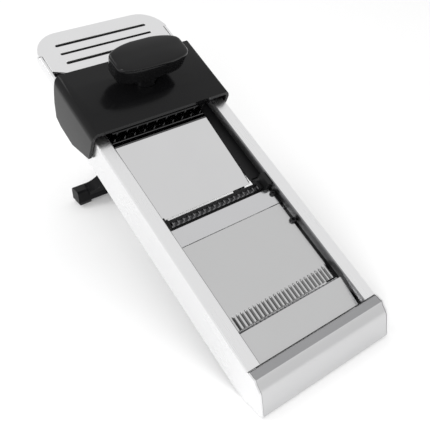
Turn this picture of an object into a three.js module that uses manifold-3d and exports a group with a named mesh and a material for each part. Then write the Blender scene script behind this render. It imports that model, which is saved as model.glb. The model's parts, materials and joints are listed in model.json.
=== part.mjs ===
// Mandoline slicer: two steel side rails joined by a nose and a handle plate, an adjustable polished
// ramp, a straight blade, a rippled centre plate, a crinkle blade, a julienne comb, a sliding food
// pusher and a folding leg. Everything is drawn in the body frame (X across, Y towards the handle,
// Z out of the rail plane, millimetres) and the whole group is then tipped to its working incline.
import * as THREE from "three";
import { mergeVertices } from "three/addons/utils/BufferGeometryUtils.js";
import Module from "manifold-3d";

const wasm = await Module();
wasm.setup();

// Driving dimensions
const WIDTH = 135;
const INCLINE = THREE.MathUtils.degToRad(25);
const STAND_HEIGHT = 32.5; // the rail plane above the table where the nose begins
const GROUP_Y = -150.4; // brings the middle of the whole object's length to Y = 0
const SHEET = 1.5;
const FIT = 0.3; // gap between pieces that touch
const RUN = 0.35; // radial gap of a turning rod

const RAIL = { flange: 13.3, depth: 32, lip: 8, bend: 2, start: 0.3, flangeEnd: 299, end: 325, strip: 3.2 };
const HEAD = { edge: 4, far: 349, corner: 27, shoulder: 306, tongueEnd: 284, tongue: 15.5, skirt: 8 };
const FRAME_BAR = { inner: 11, outer: 2, start: 3, end: 305, top: -2, tail: -4, bottom: -30 };
const CROSS = { x0: 11.3, x1: 123.7 }; // cross pieces run between the two side frames
const BED = { x0: 14.3, x1: 118.3, z: -7 };
const BLADE = { y0: 109.3, bevel: 121.5, edge: 126, edgeZ: -8, thick: 1.2 };
const RAMP = { x0: 15, x1: 111, y0: 140, y1: 282, z0: -14.2, z1: -0.6 };
const RAMP_PIVOT = { y: 280, z: -4.9 };
const PLATE = { y0: 30, y1: 108.6, rippleEnd: 43.5, runIn: 3, ripples: 25, height: 1.3 };
const PLATE_PIVOT = { y: 105, z: -11 };
const LOWER = { x1: 120, y0: 1, y1: 27, z0: -7.4, z1: -3.9, lip: 6.6 };
const RIPPLE_PITCH = (BED.x1 - BED.x0 - 1) / PLATE.ripples;
const KNUCKLE = { r: 2.8, rod: 1.5, length: 16, inset: 6 };
const COMB = { knives: 18, x0: 22, x1: 110.5, y0: 130.5, y1: 134, top: -8, base: -14.5, bar: 3.5 };
const COMB_BAR = { x0: 18.8, x1: 116.2, y0: 128.5, y1: 138.5, tongue: 3.5 };
const GUIDE = { x0: 116.6, x1: 121, y0: 126.5, y1: 139.5, top: -1, bottom: -20 };
const LEG = { y: 266, z: -22, rod: 3, hub: 7, x0: 48, x1: 87, thick: 12, fillet: 17, length: 118.5 };
const FOOT = { x0: 18.5, x1: 116.5, near: 298, deep: 14.5, low: 3.2, tall: 13.8, pad: 13, padInset: 1.5 };
const CARRIAGE = { x0: -3.5, y0: 222, y1: 291, wall: 3, shoulder: 12, roof: 14, clear: 0.5, corner: 3 };
const STEM = { x: 67.5, y: 262, r: 12, step: 1, seat: 12.3, top: 26, bore: 2.6 };
const KNOB = { bottom: 26.3, top: 45.5, round: 3, dome: 2, half: 32.5 };
const PINS = { columns: 10, pitch: 10, x0: 22.5, y0: 225, rows: 7, rowPitch: 9, r: 1.2, tip: 0.3 };
const PIN_PLATE = { x0: 17, x1: 118, y0: 223.5, y1: 281, z: 1.6, thick: 1.8, slope: 0.053, reach: 5 };
const LEVER = { x0: 96, cam: 6, armX: 117, armThick: 4, shaft: 3.5, end: 128, arm: 18, grip: 13 };

const STEEL = { color: 0xd6d7d8, roughness: 0.32, metalness: 1 };
const POLISHED = { color: 0xe6e7e8, roughness: 0.06, metalness: 1 };
const BLADE_STEEL = { color: 0xc9cbcd, roughness: 0.22, metalness: 1 };
const BLACK_GLOSS = { color: 0x0d0d0e, roughness: 0.22, metalness: 0 };
const BLACK_SATIN = { color: 0x141415, roughness: 0.45, metalness: 0 };
const RUBBER = { color: 0x1c1c1c, roughness: 0.8, metalness: 0 };
const ZINC = { color: 0xa9abad, roughness: 0.35, metalness: 1 };

// The table's height in the body frame at a place along the rails.
function tableZ(y) {
  return (-STAND_HEIGHT - y * Math.sin(INCLINE)) / Math.cos(INCLINE);
}

// A point given level with the table (distance along it, height above it) in the body frame.
function level(along, up) {
  const rise = up - STAND_HEIGHT;
  const y = along * Math.cos(INCLINE) + rise * Math.sin(INCLINE);
  const z = -along * Math.sin(INCLINE) + rise * Math.cos(INCLINE);
  return [y, z];
}

function toSolid(geometry) {
  geometry.deleteAttribute("normal");
  geometry.deleteAttribute("uv");
  const merged = mergeVertices(geometry, 1e-4);
  return new wasm.Manifold(
    new wasm.Mesh({
      numProp: 3,
      vertProperties: merged.attributes.position.array,
      triVerts: new Uint32Array(merged.index.array),
    }),
  );
}

function toGeometry(solid) {
  const mesh = solid.getMesh();
  const geometry = new THREE.BufferGeometry();
  geometry.setAttribute("position", new THREE.BufferAttribute(mesh.vertProperties, 3));
  geometry.setIndex(new THREE.BufferAttribute(mesh.triVerts, 1));
  const flat = geometry.toNonIndexed();
  flat.computeVertexNormals();
  return flat;
}

function join(solids) {
  return solids.reduce((sum, solid) => sum.add(solid));
}

function extruded(points, depth) {
  const shape = new THREE.Shape(points.map(([a, b]) => new THREE.Vector2(a, b)));
  return new THREE.ExtrudeGeometry(shape, { depth, bevelEnabled: false });
}

const X_AXIS = new THREE.Vector3(1, 0, 0);
const Y_AXIS = new THREE.Vector3(0, 1, 0);
const Z_AXIS = new THREE.Vector3(0, 0, 1);

// An outline of (y, z) points carried along X.
function alongX(points, x0, x1) {
  const turn = new THREE.Matrix4().makeBasis(Y_AXIS, Z_AXIS, X_AXIS).setPosition(x0, 0, 0);
  return toSolid(extruded(points, x1 - x0).applyMatrix4(turn));
}

// An outline of (x, z) points carried along Y.
function alongY(points, y0, y1) {
  const back = Y_AXIS.clone().negate();
  const turn = new THREE.Matrix4().makeBasis(X_AXIS, Z_AXIS, back).setPosition(0, y1, 0);
  return toSolid(extruded(points, y1 - y0).applyMatrix4(turn));
}

// An outline of (x, y) points carried along Z.
function alongZ(points, z0, z1) {
  return toSolid(extruded(points, z1 - z0).translate(0, 0, z0));
}

function block(x0, x1, y0, y1, z0, z1) {
  const box = new THREE.BoxGeometry(x1 - x0, y1 - y0, z1 - z0);
  return toSolid(box.translate((x0 + x1) / 2, (y0 + y1) / 2, (z0 + z1) / 2));
}

function rodX(y, z, r, x0, x1, sides = 20) {
  const rod = new THREE.CylinderGeometry(r, r, x1 - x0, sides);
  return toSolid(rod.rotateZ(Math.PI / 2).translate((x0 + x1) / 2, y, z));
}

function postZ(x, y, r, z0, z1, sides = 20, topR = r) {
  const post = new THREE.CylinderGeometry(topR, r, z1 - z0, sides);
  return toSolid(post.rotateX(Math.PI / 2).translate(x, y, (z0 + z1) / 2));
}

function arc(cx, cy, r, from, to, steps) {
  const points = [];
  for (let i = 0; i <= steps; i += 1) {
    const a = THREE.MathUtils.degToRad(from + ((to - from) * i) / steps);
    points.push([cx + r * Math.cos(a), cy + r * Math.sin(a)]);
  }
  return points;
}

// A bent sheet: the path is its outer face, and the thickness lies to the right of the way along it.
function sheet(path, thick) {
  const inner = path.map((p, i) => {
    const before = path[Math.max(i - 1, 0)];
    const after = path[Math.min(i + 1, path.length - 1)];
    const n1 = rightNormal(i === 0 ? p : before, i === 0 ? after : p);
    const n2 = rightNormal(i === path.length - 1 ? before : p, i === path.length - 1 ? p : after);
    const sum = [n1[0] + n2[0], n1[1] + n2[1]];
    const scale = (2 * thick) / (sum[0] * sum[0] + sum[1] * sum[1]);
    return [p[0] + sum[0] * scale, p[1] + sum[1] * scale];
  });
  return path.concat(inner.reverse());
}

function rightNormal(a, b) {
  const length = Math.hypot(b[0] - a[0], b[1] - a[1]);
  return [(b[1] - a[1]) / length, -(b[0] - a[0]) / length];
}

function mirrored(solid) {
  const geometry = toGeometry(solid).scale(-1, 1, 1).translate(WIDTH, 0, 0);
  const p = geometry.attributes.position.array;
  for (let i = 0; i < p.length; i += 9) {
    for (let k = 0; k < 3; k += 1) {
      [p[i + 3 + k], p[i + 6 + k]] = [p[i + 6 + k], p[i + 3 + k]];
    }
  }
  return toSolid(geometry);
}

// The outer line of the nose, from the end of the rails over the crest and down to the table.
function noseLine() {
  return [
    [-0.9, 0.4],
    [-3, 1.1],
    [-5.5, 1.3],
    [-7.7, 2.2],
    [-10.6, 0],
    [-14.5, -1.5],
    [-18, -3.5],
    [-30.3, -20.6],
    [-27.3, tableZ(-27.3)],
    [-12, tableZ(-12)],
    [-2, -31.8],
  ];
}

function sideRail() {
  const { flange, depth, lip, bend, start, flangeEnd, end, strip } = RAIL;
  const section = [
    [0, -depth - 1],
    ...arc(bend, -bend, bend, 180, 90, 3),
    ...arc(flange - bend, -bend, bend, 90, 0, 3),
    [flange, -lip],
  ];
  const bent = alongY(sheet(section, SHEET), start, end);
  const sideView = [
    [start - 1, 1],
    [end, 1],
    [end, -lip],
    [300, -lip],
    [292, -10.5],
    [284, -20],
    [277, -29],
    [270, -depth],
    [start - 1, -depth],
  ];
  const rail = bent
    .intersect(alongX(sideView, -1, flange + 1))
    .subtract(block(strip, flange + 1, flangeEnd, end + 1, -depth, 1));
  const nosePlate = [
    [start + 12, -3],
    [start + 0.7, -bend],
    ...noseLine().map(([y, z]) => [y, Math.max(z, tableZ(y) + FIT)]),
    [start + 12, -depth],
  ];
  return join([rail, alongX(nosePlate, 0, SHEET)]).subtract(rodHoles());
}

function noseCap() {
  const path = [[-0.9, -6], ...noseLine()].reverse();
  return alongX(sheet(path, SHEET), SHEET + FIT, WIDTH - SHEET - FIT);
}

// The handle plate in plan: a tongue between the rails, curved shoulders beside the rails' ends,
// and a full-width end with large round corners.
function headOutline(inset) {
  const { edge, far, corner, shoulder, tongueEnd, tongue } = HEAD;
  const wide = RAIL.end + 0.5;
  const r = corner - inset;
  const cy = far - corner;
  const start = THREE.MathUtils.radToDeg(Math.asin((wide - cy) / corner));
  return [
    [tongue + inset, tongueEnd],
    [WIDTH - tongue - inset, tongueEnd],
    [WIDTH - tongue - inset, shoulder - 5.5],
    [WIDTH - edge - 7.5 - inset, shoulder - 3.5],
    [WIDTH - edge - inset, shoulder],
    [WIDTH - edge - inset, wide],
    ...arc(WIDTH - corner, cy, r, start, 90, 8),
    ...arc(corner, cy, r, 90, 180 - start, 8),
    [edge + inset, wide],
    [edge + inset, shoulder],
    [edge + 7.5 + inset, shoulder - 3.5],
    [tongue + inset, shoulder - 5.5],
  ];
}

function slot(y, half, x0, x1) {
  const points = [...arc(x1 - half, y, half, -90, 90, 5), ...arc(x0 + half, y, half, 90, 270, 5)];
  return alongZ(points, -SHEET - 1, 1);
}

function headPlate() {
  const plate = alongZ(headOutline(0), -SHEET, 0);
  const skirt = alongZ(headOutline(0), -HEAD.skirt, -SHEET / 2)
    .subtract(alongZ(headOutline(SHEET), -HEAD.skirt - 1, 0))
    .subtract(block(-1, WIDTH + 1, HEAD.tongueEnd - 5, RAIL.end + 0.5, -HEAD.skirt - 1, 0));
  const slots = [333, 322.5, 311].map((y) => slot(y, 1.35, 20, 115));
  return join([plate, skirt]).subtract(join(slots));
}

// A black insert under the handle plate, which closes the slots from below.
function handleLiner() {
  const inset = SHEET + FIT;
  const outline = headOutline(inset).filter(([, y]) => y >= HEAD.shoulder);
  return alongZ(outline, -HEAD.skirt + 1, -SHEET - FIT);
}

function rodHoles() {
  const x0 = SHEET + 0.2;
  const x1 = WIDTH - x0;
  return join([
    rodX(PLATE_PIVOT.y, PLATE_PIVOT.z, KNUCKLE.rod + RUN, x0, x1),
    rodX(RAMP_PIVOT.y, RAMP_PIVOT.z, KNUCKLE.rod + RUN, x0, x1),
    rodX(LEG.y, LEG.z, LEG.rod + RUN, x0, x1),
  ]);
}

function frameBar() {
  const sideView = [
    [FRAME_BAR.start, FRAME_BAR.bottom],
    [268, FRAME_BAR.bottom],
    [276, -27],
    [284, -17],
    [291, -9],
    [FRAME_BAR.end, -7.6],
    [FRAME_BAR.end, FRAME_BAR.tail],
    [RAIL.flangeEnd - 3, FRAME_BAR.tail],
    [RAIL.flangeEnd - 3, FRAME_BAR.top],
    [FRAME_BAR.start, FRAME_BAR.top],
  ];
  return alongX(sideView, FRAME_BAR.outer, FRAME_BAR.inner).subtract(rodHoles());
}

const LEVERS = [
  { name: "ramp_lever", y: 156, z: -21.5, offset: 8, angle: -20, camR: 9.9, neck: 3.5 },
  { name: "centre_plate_lever", y: 45, z: -20, offset: 4, angle: 0, camR: 10.7, neck: 3.5 },
  { name: "comb_lever", y: 124.5, z: -25.5, offset: 6, angle: 38.7, camR: 3.3, neck: 2 },
];

function rightFrameBar() {
  const shelf = block(112, 125, 142, 250, -14, -11);
  const post = block(113, 125, 85, 94, -24, -16);
  const holes = LEVERS.map(({ y, z }) => rodX(y, z, LEVER.shaft + RUN, 123, WIDTH));
  const screwHole = postZ(118, 89.5, 1.5, -25, -15, 12);
  return join([mirrored(frameBar()), shelf, post]).subtract(join([...holes, screwHole]));
}

function straightBlade() {
  const { y0, bevel, edge, edgeZ, thick } = BLADE;
  const profile = [
    [y0, BED.z - thick],
    [y0, BED.z],
    [bevel, BED.z],
    [edge, edgeZ],
    [edge, BED.z - thick],
  ];
  return alongX(profile, BED.x0, BED.x1).subtract(postZ(118, 119.5, 1.5, -10, -5, 12));
}

function bladeBar() {
  const top = BED.z - BLADE.thick - FIT;
  const bar = block(CROSS.x0, CROSS.x1, 109.5, 113.5, -15, top);
  const left = block(CROSS.x0, 16, 113, 124, -15, top);
  const right = block(112, CROSS.x1, 113, 124, -15, top);
  return join([bar, left, right]).subtract(postZ(118, 119.5, 1.5, -16, -5, 12));
}

function headScrew(x, y, r, shank, low, under, top) {
  return join([postZ(x, y, shank, low, under + 0.2, 12), postZ(x, y, r, under, top, 18, r * 0.86)]);
}

function lowerPlate() {
  const { x1, y0, y1, z0, z1, lip } = LOWER;
  return alongX(sheet([[y0, z0 - lip], [y0, z0], [y1, z1]], SHEET), BED.x0, x1);
}

const LOWER_SLOPE = Math.atan2(LOWER.z1 - LOWER.z0, LOWER.y1 - LOWER.y0);

function crinkleBlade() {
  const thick = 0.8;
  const wave = [];
  for (let i = 0; i <= 2 * PLATE.ripples; i += 1) {
    wave.push([BED.x0 + 0.5 + (i * RIPPLE_PITCH) / 2, i % 2 ? 1 : -1]);
  }
  const outline = [...wave, ...wave.map(([x, z]) => [x, z - thick]).reverse()];
  const reach = 18.8;
  const rise = new THREE.Matrix4().makeRotationX(LOWER_SLOPE);
  const geometry = toGeometry(alongY(outline, -reach + 1.8, 1.8)).applyMatrix4(rise);
  return toSolid(geometry.translate(0, LOWER.y1, LOWER.z1 - SHEET - FIT - 1.2));
}

function crinkleBar() {
  const profile = [
    [8, -18],
    [8, -11.8],
    [14, -11.8 + 6 * Math.tan(LOWER_SLOPE)],
    [14, -18],
  ];
  return alongX(profile, CROSS.x0, CROSS.x1);
}

function knuckles(pivot, x0, x1, bore) {
  const { r, rod, length, inset } = KNUCKLE;
  const size = bore ? rod + RUN : r;
  return [x0 + inset, x1 - inset - length].map((x) =>
    rodX(pivot.y, pivot.z, size, bore ? x - 1 : x, x + length + (bore ? 1 : 0)),
  );
}

function upperRamp() {
  const { x0, x1, y0, y1, z0, z1 } = RAMP;
  const slope = (z1 - z0) / (y1 - y0);
  const ground = [
    [y0, z0],
    [y1, z1],
    [y1, z1 - SHEET],
    [y0 + 5, z0 + 5 * slope - SHEET],
    [y0, z0 - 0.3],
  ];
  const plate = alongX(ground, x0, x1);
  const tubes = join(knuckles(RAMP_PIVOT, x0, x1, false));
  return join([plate, tubes]).subtract(join(knuckles(RAMP_PIVOT, x0, x1, true)));
}

// The centre plate is flat, and its near end is pressed into ripples, which reach their full height
// after a short run-in.
function centrePlate() {
  const columns = 4 * PLATE.ripples;
  const { y0, y1, rippleEnd, runIn } = PLATE;
  const rows = [y0, rippleEnd - runIn, rippleEnd, y1];
  const edge = 0.5;
  const xs = [BED.x0];
  for (let i = 0; i <= columns; i += 1) {
    xs.push(BED.x0 + edge + (i * RIPPLE_PITCH) / 4);
  }
  xs.push(BED.x1);
  const heightAt = (x, y) => {
    const grow = THREE.MathUtils.clamp((rippleEnd - y) / runIn, 0, 1);
    const turn = ((x - BED.x0 - edge) / RIPPLE_PITCH) * Math.PI;
    return BED.z - PLATE.height * grow * (1 - Math.abs(Math.sin(turn)));
  };
  const position = [];
  const index = [];
  const across = xs.length;
  const layer = across * rows.length;
  for (const drop of [0, SHEET]) {
    for (const y of rows) {
      xs.forEach((x) => position.push(x, y, heightAt(x, y) - drop));
    }
  }
  const quad = (a, b, c, d) => index.push(a, b, c, a, c, d);
  for (let r = 0; r < rows.length - 1; r += 1) {
    for (let c = 0; c < across - 1; c += 1) {
      const a = r * across + c;
      quad(a, a + 1, a + across + 1, a + across);
      quad(layer + a, layer + a + across, layer + a + across + 1, layer + a + 1);
    }
    const left = r * across;
    const right = left + across - 1;
    quad(left, left + across, layer + left + across, layer + left);
    quad(right, layer + right, layer + right + across, right + across);
  }
  for (let c = 0; c < across - 1; c += 1) {
    const far = layer - across + c;
    quad(c, layer + c, layer + c + 1, c + 1);
    quad(far, far + 1, layer + far + 1, layer + far);
  }
  const geometry = new THREE.BufferGeometry();
  geometry.setAttribute("position", new THREE.Float32BufferAttribute(position, 3));
  geometry.setIndex(index);
  const tubes = join(knuckles(PLATE_PIVOT, BED.x0, BED.x1, false));
  const bores = join([...knuckles(PLATE_PIVOT, BED.x0, BED.x1, true), postZ(118, 89.5, 3.6, -12, -4)]);
  return join([toSolid(geometry), tubes]).subtract(bores);
}

function julienneComb() {
  const { knives, x0, x1, y0, y1, top, base } = COMB;
  const strip = block(x0 - 1, x1 + 1.5, y0, y1, base + FIT, base + FIT + 1.2);
  const hook = [
    [y1, base + 0.8],
    [y1, top - 1.6],
    [y1 - 1.6, top],
    [y0 - 0.6, top - 0.5],
    [y0 + 0.9, top - 1.8],
    [y0 + 0.6, base + 0.8],
  ];
  const parts = [strip];
  for (let i = 0; i < knives; i += 1) {
    const x = x0 + ((x1 - x0) * i) / (knives - 1);
    parts.push(alongX(hook, x - 0.4, x + 0.4));
  }
  return join(parts);
}

function combCarrier() {
  const { x0, x1, y0, y1, tongue } = COMB_BAR;
  const bar = block(x0, x1, y0, y1, COMB.base - COMB.bar, COMB.base);
  const left = block(x0, x0 + tongue - 1.6, y0 + 1, y1 - 1, COMB.base - 1, -9);
  const right = block(x1 - tongue, x1, y0 + 1, y1 - 1, COMB.base - 1, -9);
  return join([bar, left, right]);
}

// The right guide reaches up past the rail's lip; the left one stops below it.
function combGuide(top) {
  const { x0, x1, y0, y1, bottom } = GUIDE;
  const foot = block(x0, CROSS.x1, y0, y1, bottom, -RAIL.lip - FIT);
  return join([foot, block(x0, x1, y0, y1, bottom, top)]);
}

function legFrame() {
  const { y, z, hub, x0, x1, thick, fillet, length } = LEG;
  const half = thick / 2;
  const barTop = z - length;
  const front = [
    [x0, z],
    ...arc(x0 - fillet, barTop + fillet, fillet, 0, -90, 6),
    [x0 - fillet, barTop - 6],
    [x1 + fillet, barTop - 6],
    ...arc(x1 + fillet, barTop + fillet, fillet, 270, 180, 6),
    [x1, z],
  ];
  const upright = alongY(front, y - half, y + half);
  const recess = block(x0 + 5, x1 - 5, y - half - 1, y - half + 5, barTop + 20, z - 16);
  const heel = block(x0 + 4, x1 - 4, y - hub, y + half, z, z + 12);
  const bar = alongX(
    [
      level(FOOT.near, FOOT.low),
      level(FOOT.near + FOOT.deep, FOOT.low),
      level(FOOT.near + FOOT.deep, FOOT.low + FOOT.tall - 2),
      level(FOOT.near + FOOT.deep - 2, FOOT.low + FOOT.tall),
      level(FOOT.near + 2, FOOT.low + FOOT.tall),
      level(FOOT.near, FOOT.low + FOOT.tall - 2),
    ],
    FOOT.x0,
    FOOT.x1,
  );
  return join([upright.subtract(recess), heel, bar, rodX(y, z, hub, x0 - 4, x1 + 4, 24)]).subtract(
    rodX(y, z, LEG.rod + RUN, x0 - 6, x1 + 6, 24),
  );
}

function footPad(x0) {
  const outline = [
    level(FOOT.near + 1, 0),
    level(FOOT.near + FOOT.deep - 1, 0),
    level(FOOT.near + FOOT.deep - 1, FOOT.low - FIT),
    level(FOOT.near + 1, FOOT.low - FIT),
  ];
  return alongX(outline, x0, x0 + FOOT.pad);
}

// The lever's cam is a round lobe beside the shaft, joined to it by a neck of the given half width.
function lever({ y, z, offset, angle, camR, neck }) {
  const { x0, cam, armX, armThick, shaft, end, arm } = LEVER;
  const a = THREE.MathUtils.degToRad(angle);
  const lobe = rodX(y + offset * Math.cos(a), z + offset * Math.sin(a), camR, x0, x0 + cam, 28);
  const across = [-Math.sin(a) * neck, Math.cos(a) * neck];
  const along = [offset * Math.cos(a), offset * Math.sin(a)];
  const web = alongX(
    [
      [y + across[0], z + across[1]],
      [y + across[0] + along[0], z + across[1] + along[1]],
      [y - across[0] + along[0], z - across[1] + along[1]],
      [y - across[0], z - across[1]],
    ],
    x0,
    x0 + cam,
  );
  const hub = rodX(y, z, 5, armX, armX + armThick, 24);
  const blade = block(armX, armX + armThick, y - 3.5, y + 3.5, z - arm - 8, z);
  return join([rodX(y, z, shaft, x0, end), lobe, web, hub, blade]);
}

function leverGrip({ y, z }) {
  const { armX, armThick, arm, grip } = LEVER;
  const wall = 2;
  const low = z - arm - grip + 2;
  const outline = [
    [y - 6, z - arm],
    [y - 6.5, low + 3],
    [y - 3.5, low],
    [y + 3.5, low],
    [y + 6.5, low + 3],
    [y + 6, z - arm],
  ];
  const body = alongX(outline, armX - wall, armX + armThick + wall - 1);
  const pocket = block(armX - FIT, armX + armThick + FIT, y - 3.8, y + 3.8, z - arm - 8.3, z - arm + 1);
  return body.subtract(pocket);
}

function roofLine(drop) {
  const { y0, y1, roof } = CARRIAGE;
  return [
    [y0, roof - 3 - drop],
    [242, roof - drop],
    [269.5, roof - drop],
    [y1, roof - 2.5 - drop],
  ];
}

function carriageShell() {
  const { x0, y0, y1, wall, shoulder, roof, clear, corner } = CARRIAGE;
  const x1 = WIDTH - x0;
  const section = [
    [x0, -36],
    ...arc(x0 + shoulder, roof - shoulder, shoulder, 180, 90, 6),
    ...arc(x1 - shoulder, roof - shoulder, shoulder, 90, 0, 6),
    [x1, -36],
  ];
  const sideView = [
    ...roofLine(0),
    [y1 - 1, 4],
    [286, -16],
    [280.6, -29.6],
    [272, -32.5],
    [250, -33],
    [y0 + 0.6, -20.4],
  ];
  const plan = [
    [x0, y0],
    [x1, y0],
    ...arc(x1 - corner, y1 - corner, corner, 0, 90, 6),
    ...arc(x0 + corner, y1 - corner, corner, 90, 180, 6),
  ];
  const outer = alongY(section, y0 - 1, y1 + 1)
    .intersect(alongX(sideView, x0, x1))
    .intersect(alongZ(plan, -36, roof + 1));
  const track = block(-clear, WIDTH + clear, y0 - 2, y1 + 2, -40, FIT);
  const ceiling = [
    [y0 - 2, 0],
    [y0 - 2, roof - 6.6],
    [y0, roof - 6.6],
    [242, roof - 3.2],
    [269.5, roof - 2.8],
    [y1 - wall, roof - 4.6],
    [y1 - wall, 0],
  ];
  const curve = shoulder - wall;
  const width = [
    [-clear, -1],
    ...arc(-clear + curve, roof - 3 - curve, curve, 180, 90, 4),
    ...arc(WIDTH + clear - curve, roof - 3 - curve, curve, 90, 0, 4),
    [WIDTH + clear, -1],
  ];
  const open = y1 - corner;
  const hollow = alongX(ceiling, -clear, WIDTH + clear).intersect(
    join([alongY(width, y0 - 3, open), block(corner, WIDTH - corner, open - 1, y1, -1, roof)]),
  );
  const glides = [4, 9, WIDTH - 11, WIDTH - 6].map((x) =>
    block(x, x + 2, y0 + 5, open + 1, FIT, roof - 4),
  );
  const bore = join([
    postZ(STEM.x, STEM.y, STEM.r - STEM.step + RUN, 0, roof + 2, 32),
    postZ(STEM.x, STEM.y, STEM.r + RUN, STEM.seat, roof + 2, 32),
  ]);
  return join([outer.subtract(track).subtract(hollow), ...glides]).subtract(bore);
}

// The stem's lower part is narrower, and its shoulder rests on the step of the carriage's bore.
function pusherStem() {
  const { x, y, r, step, seat, top, bore } = STEM;
  const low = plateTop(y + r) + FIT;
  const profile = [
    [bore, low],
    [r - step, low],
    [r - step, seat + FIT],
    [r, seat + FIT],
    [r, top],
    [bore, top],
    [bore, low],
  ];
  const lathe = new THREE.LatheGeometry(
    profile.map(([a, b]) => new THREE.Vector2(a, b)),
    36,
  );
  return toSolid(lathe.rotateX(Math.PI / 2).translate(x, y, 0));
}

function plateTop(y) {
  return PIN_PLATE.z + PIN_PLATE.thick + (y - PINS.y0) * PIN_PLATE.slope;
}

function knob() {
  const { x, y } = STEM;
  const { bottom, top, round, dome } = KNOB;
  const half = KNOB.half;
  const outline = new THREE.Shape();
  outline.moveTo(x - half, y - 7);
  outline.quadraticCurveTo(x - half, y - 9.5, x - half + 4, y - 10);
  outline.bezierCurveTo(x - 18, y - 14.5, x + 18, y - 14.5, x + half - 4, y - 10);
  outline.quadraticCurveTo(x + half, y - 9.5, x + half, y - 7);
  outline.lineTo(x + half, y + 2);
  outline.quadraticCurveTo(x + half, y + 5.5, x + half - 4, y + 7);
  outline.bezierCurveTo(x + 18, y + 15.5, x - 18, y + 15.5, x - half + 4, y + 7);
  outline.quadraticCurveTo(x - half, y + 5.5, x - half, y + 2);
  outline.lineTo(x - half, y - 7);
  const grip = new THREE.ExtrudeGeometry(outline, {
    depth: top - bottom - 2 * round,
    bevelThickness: round,
    bevelSize: round,
    bevelSegments: 4,
    curveSegments: 8,
  });
  const crown = new THREE.SphereGeometry(1, 28, 10).scale(30, 12, dome + 0.6);
  const body = join([
    toSolid(grip.translate(0, 0, bottom + round)),
    toSolid(crown.translate(x, y, top - 0.6)),
  ]);
  return body.subtract(postZ(x, y, STEM.bore, bottom - 1, bottom + 10, 16));
}

function pinPlate() {
  const { x0, x1, y0, y1, z, thick, slope, reach } = PIN_PLATE;
  const zAt = (y) => z + (y - PINS.y0) * slope;
  const profile = [
    [y0, zAt(y0)],
    [y1, zAt(y1)],
    [y1, zAt(y1) + thick],
    [y0, zAt(y0) + thick],
  ];
  const parts = [alongX(profile, x0, x1)];
  for (let row = 0; row < PINS.rows; row += 1) {
    const y = PINS.y0 + row * PINS.rowPitch;
    const shift = (row % 2) * (PINS.pitch / 2);
    for (let i = 0; i < PINS.columns - (row % 2); i += 1) {
      const x = PINS.x0 + shift + i * PINS.pitch;
      if (Math.hypot(x - STEM.x, y - STEM.y) > 8) {
        parts.push(postZ(x, y, PINS.tip, zAt(y) - reach, zAt(y) + thick / 2, 6, PINS.r));
      }
    }
  }
  return join(parts).subtract(postZ(STEM.x, STEM.y, STEM.bore, -5, 10, 16));
}

function pusherScrew() {
  const low = PIN_PLATE.z + (STEM.y - 4 - PINS.y0) * PIN_PLATE.slope - FIT;
  const head = postZ(STEM.x, STEM.y, 4, low - 2, low, 18);
  return join([head, postZ(STEM.x, STEM.y, STEM.bore - FIT, low - 1, KNOB.bottom + 9.5, 16)]);
}

function rod(pivot, r) {
  return rodX(pivot.y, pivot.z, r, 4, WIDTH - 4, 24);
}

const body = new THREE.Group();

function place(name, solid, look) {
  const mesh = new THREE.Mesh(toGeometry(solid), new THREE.MeshStandardMaterial(look));
  mesh.name = name;
  body.add(mesh);
}

place("left_side_rail", sideRail(), STEEL);
place("right_side_rail", mirrored(sideRail()), STEEL);
place("nose_cap", noseCap(), STEEL);
place("head_plate", headPlate(), STEEL);
place("handle_liner", handleLiner(), BLACK_SATIN);
place("left_side_frame", frameBar(), BLACK_SATIN);
place("right_side_frame", rightFrameBar(), BLACK_SATIN);
place("straight_blade", straightBlade(), BLADE_STEEL);
place("blade_bar", bladeBar(), BLACK_SATIN);
place("blade_lock_screw", headScrew(118, 119.5, 2.5, 1.2, -14, BED.z + FIT, -4.9), BLACK_SATIN);
place("plate_stop_screw", headScrew(118, 89.5, 3, 1.2, -23, BED.z - 0.6, -4.7), BLACK_SATIN);
place("lower_plate", lowerPlate(), STEEL);
place("crinkle_blade", crinkleBlade(), BLADE_STEEL);
place("crinkle_bar", crinkleBar(), BLACK_SATIN);
place("front_tie_bar", block(CROSS.x0, CROSS.x1, 4, 10, -29, -23), ZINC);
place("leg_stop_bar", block(CROSS.x0, CROSS.x1, 252, LEG.y - LEG.hub - FIT, -16.5, -10.3), ZINC);
place("leg_pivot_rod", rod(LEG, LEG.rod), ZINC);
place("ramp_pivot_rod", rod(RAMP_PIVOT, KNUCKLE.rod), ZINC);
place("centre_plate_rod", rod(PLATE_PIVOT, KNUCKLE.rod), ZINC);
place("left_comb_guide", mirrored(combGuide(-RAIL.lip - FIT)), BLACK_SATIN);
place("right_comb_guide", combGuide(GUIDE.top), BLACK_SATIN);
place("upper_ramp", upperRamp(), POLISHED);
place("centre_plate", centrePlate(), STEEL);
place("comb_carrier", combCarrier(), BLACK_SATIN);
place("julienne_comb", julienneComb(), BLADE_STEEL);
place("leg_frame", legFrame(), BLACK_SATIN);
place("left_foot_pad", footPad(FOOT.x0 + FOOT.padInset), RUBBER);
place("right_foot_pad", footPad(FOOT.x1 - FOOT.padInset - FOOT.pad), RUBBER);
for (const item of LEVERS) {
  place(item.name, lever(item), ZINC);
  place(`${item.name}_grip`, leverGrip(item), BLACK_SATIN);
}
place("carriage_shell", carriageShell(), BLACK_GLOSS);
place("pusher_stem", pusherStem(), BLACK_GLOSS);
place("knob", knob(), BLACK_GLOSS);
place("pin_plate", pinPlate(), BLACK_SATIN);
place("pusher_screw", pusherScrew(), ZINC);

body.position.x = -WIDTH / 2;
const mandoline = new THREE.Group();
mandoline.add(body);
mandoline.rotation.x = INCLINE;
mandoline.position.set(0, GROUP_Y, STAND_HEIGHT);

export default mandoline;
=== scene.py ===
import json
import math

import bmesh
import bpy
from mathutils import Matrix, Vector


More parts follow.
